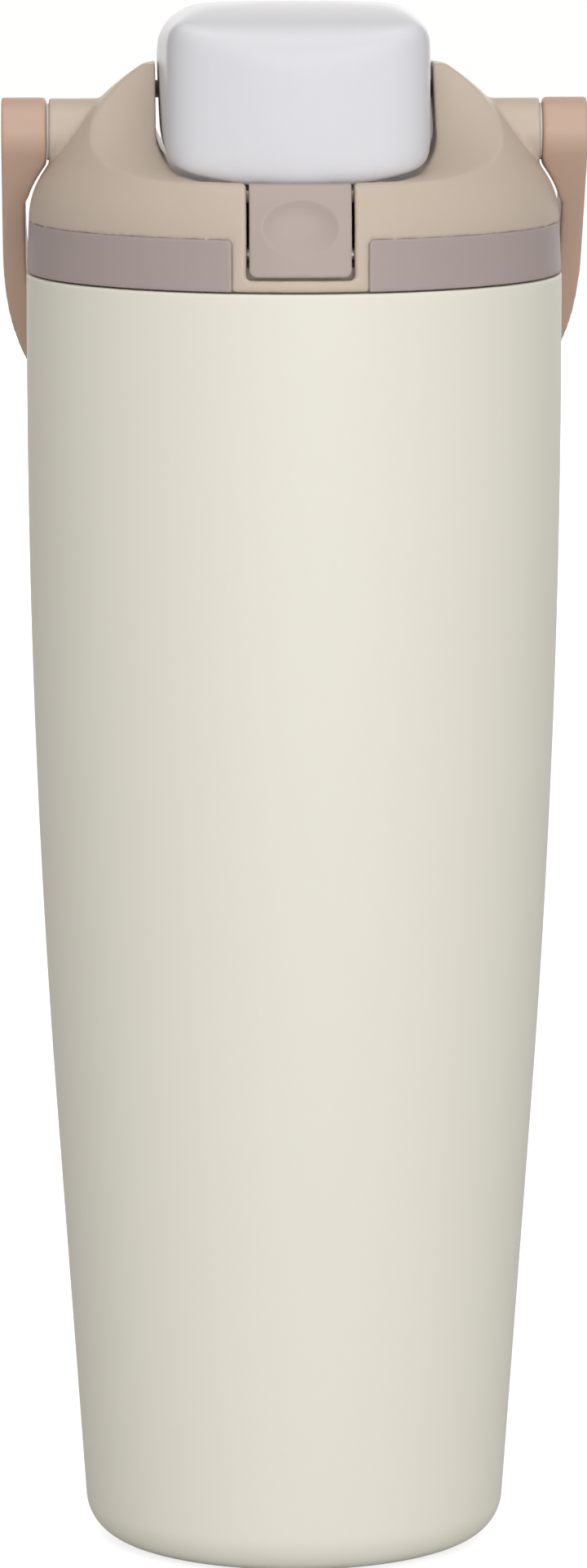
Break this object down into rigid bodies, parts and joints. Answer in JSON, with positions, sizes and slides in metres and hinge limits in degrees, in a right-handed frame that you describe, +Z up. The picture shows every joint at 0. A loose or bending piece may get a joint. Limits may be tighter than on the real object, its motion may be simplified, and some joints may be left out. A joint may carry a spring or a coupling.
{
  "type": "insulated tumbler",
  "caption": "Double-walled steel drinking tumbler with a screw lid, a latched flip cap over its spout and a swinging carry handle.",
  "frame": {"origin": "centre of the base, on the surface the tumbler stands on", "axes": "+Z up along the cup, -Y towards the push button, +Y towards the hanging handle, +X to the right"},
  "size_m": [0.0986, 0.1021, 0.2642],
  "materials": {
    "cream_coat": "fine-grained powder coat, satin",
    "steel": "brushed",
    "solder_glass": "glossy dark bead",
    "lid_beige": "fine satin grain",
    "band_taupe": "fine satin grain",
    "button_taupe": "fine satin grain",
    "cap_white": "smooth satin",
    "inner_plastic": "smooth moulded",
    "silicone": "matte translucent",
    "handle_rose": "fine satin grain",
    "pin_steel": "ground steel"
  },
  "bodies": {
    "cup": {"outer_shell": "cream_coat", "inner_liner": "steel", "base_cover": "steel", "vacuum_seal_bead": "solder_glass", "getter_pill": "steel"},
    "gasket": {"lid_gasket": "silicone"},
    "lid": {"lid_shell": "lid_beige", "grip_band": "band_taupe", "lid_plug": "inner_plastic", "spout": "inner_plastic", "spout_seal": "silicone", "vent_valve": "silicone", "cap_hinge_pin": "pin_steel", "cap_spring": "pin_steel", "button_pin": "pin_steel", "button_spring": "pin_steel", "pivot_washer_left": "silicone", "pivot_washer_right": "silicone"},
    "cap": {"cap_shell": "cap_white", "cap_liner": "inner_plastic", "cap_seal": "silicone"},
    "button": {"latch_button": "button_taupe"},
    "handle": {"handle_loop": "handle_rose", "handle_pin_left": "pin_steel", "handle_pin_right": "pin_steel"}
  },
  "joints": [
    {"name": "lid_lift", "type": "slide", "parent": "cup", "child": "gasket", "axis": [0, 0, 1], "range_m": [0, 0.0081]},
    {"name": "lid_turn", "type": "hinge", "parent": "gasket", "child": "lid", "pos_m": [0, 0, 0.2181], "axis": [0, 0, 1], "range_deg": [0, 720]},
    {"name": "cap_flip", "type": "hinge", "parent": "lid", "child": "cap", "pos_m": [0, 0.012, 0.248], "axis": [-1, 0, 0], "range_deg": [0, 115]},
    {"name": "button_press", "type": "hinge", "parent": "lid", "child": "button", "pos_m": [0, -0.0416, 0.2242], "axis": [-1, 0, 0], "range_deg": [0, 5], "stiffness_Nm_per_rad": 0.4, "springref_deg": -2.86, "deforming": ["button_spring"]},
    {"name": "handle_swing", "type": "hinge", "parent": "lid", "child": "handle", "pos_m": [0, 0, 0.2415], "axis": [1, 0, 0], "range_deg": [0, 276]}
  ],
  "couplings": [
    {"joint": "lid_lift", "follows": "lid_turn", "m_per_rad": 0.00063662}
  ]
}
